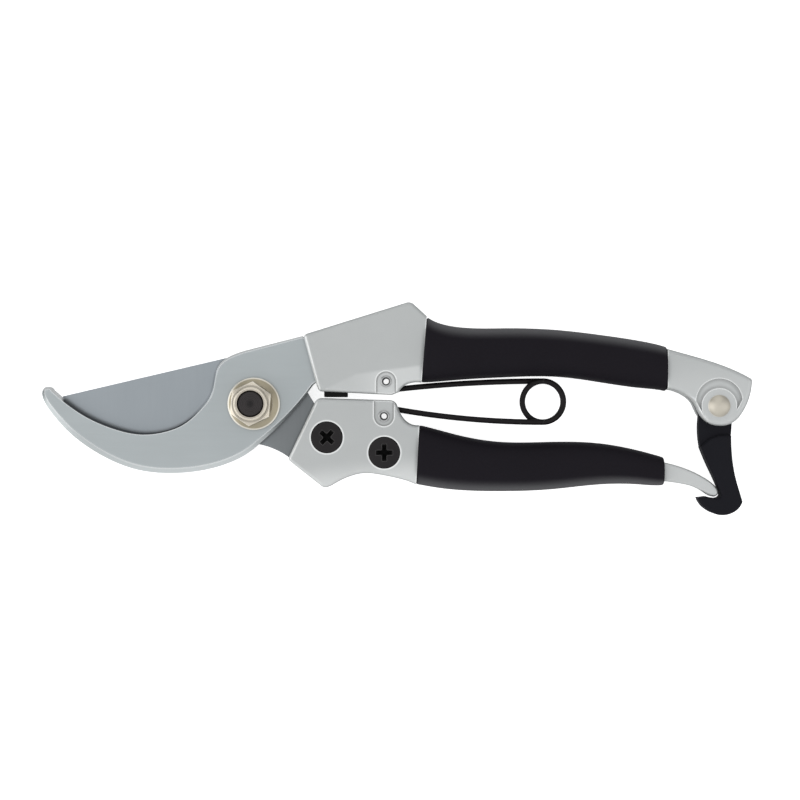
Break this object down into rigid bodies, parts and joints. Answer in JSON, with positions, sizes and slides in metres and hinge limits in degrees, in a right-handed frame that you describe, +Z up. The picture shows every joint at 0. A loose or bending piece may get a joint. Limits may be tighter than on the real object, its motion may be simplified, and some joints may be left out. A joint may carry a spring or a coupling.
{
  "type": "pruning shears",
  "caption": "Bypass pruning shears, latched shut: hook and cutting blade on a nut pivot, two gripped cast handles, coil return spring and a swinging end catch.",
  "frame": {"origin": "on the pivot axis, at the outer face of the pivot bolt's head, on the level that the shears rest on", "axes": "+X towards the handle ends, along the shears; +Y towards the upper handle, in the plane of the blades; +Z up along the pivot axis, towards the pivot nut"},
  "size_m": [0.1998, 0.0599, 0.0191],
  "materials": {
    "cast_alloy": "satin silver lacquer over a fine casting",
    "satin_steel": "satin, pearl grey coated",
    "blade_steel": "ground, fine satin",
    "bright_steel": "turned",
    "spring_steel": "black oxide, satin",
    "black_steel": "black oxide",
    "yellow_zinc": "yellow passivated zinc",
    "nickel": "satin nickel",
    "grip_rubber": "smooth dipped, satin",
    "stop_rubber": "matte",
    "catch_plastic": "fine matte",
    "nylon": "natural"
  },
  "bodies": {
    "upper_handle_body": {"upper_handle": "cast_alloy", "upper_grip": "grip_rubber", "hook_blade": "satin_steel", "hook_screws": "black_steel", "pivot_bolt": "black_steel", "pivot_bush": "bright_steel", "pivot_washer": "yellow_zinc", "pivot_nut": "yellow_zinc", "nut_insert": "nylon", "bumper": "stop_rubber", "upper_spring_eyelet": "nickel", "catch_rivet": "nickel", "catch_bush": "bright_steel"},
    "lower_handle_body": {"lower_handle": "cast_alloy", "lower_grip": "grip_rubber", "cutting_blade": "blade_steel", "blade_screws": "black_steel", "blade_sleeve_nuts": "black_steel", "lower_spring_eyelet": "nickel"},
    "catch_body": {"catch": "catch_plastic"},
    "spring_upper_body": {"spring_upper_arm": "spring_steel"},
    "spring_lower_body": {"spring_lower_arm": "spring_steel"}
  },
  "joints": [
    {"name": "blade_pivot", "type": "hinge", "parent": "upper_handle_body", "child": "lower_handle_body", "pos_m": [0, 0, 0.0074], "axis": [0, 0, -1], "range_deg": [0, 40]},
    {"name": "catch_pivot", "type": "hinge", "parent": "upper_handle_body", "child": "catch_body", "pos_m": [0.1311, -0.0006, 0.0074], "axis": [0, 0, 1], "range_deg": [0, 80]},
    {"name": "spring_eyelet_pivot", "type": "hinge", "parent": "upper_handle_body", "child": "spring_upper_body", "pos_m": [0.0377, 0.0063, 0.00655], "axis": [0, 0, -1], "range_deg": [0, 35]},
    {"name": "spring_coil", "type": "hinge", "parent": "spring_upper_body", "child": "spring_lower_body", "pos_m": [0.082, 0.0006, 0.0074], "axis": [0, 0, 1], "range_deg": [0, 34]}
  ],
  "couplings": [
    {"joint": "spring_eyelet_pivot", "follows": "blade_pivot", "ratio": 0.849},
    {"joint": "spring_coil", "follows": "blade_pivot", "ratio": 0.83}
  ]
}
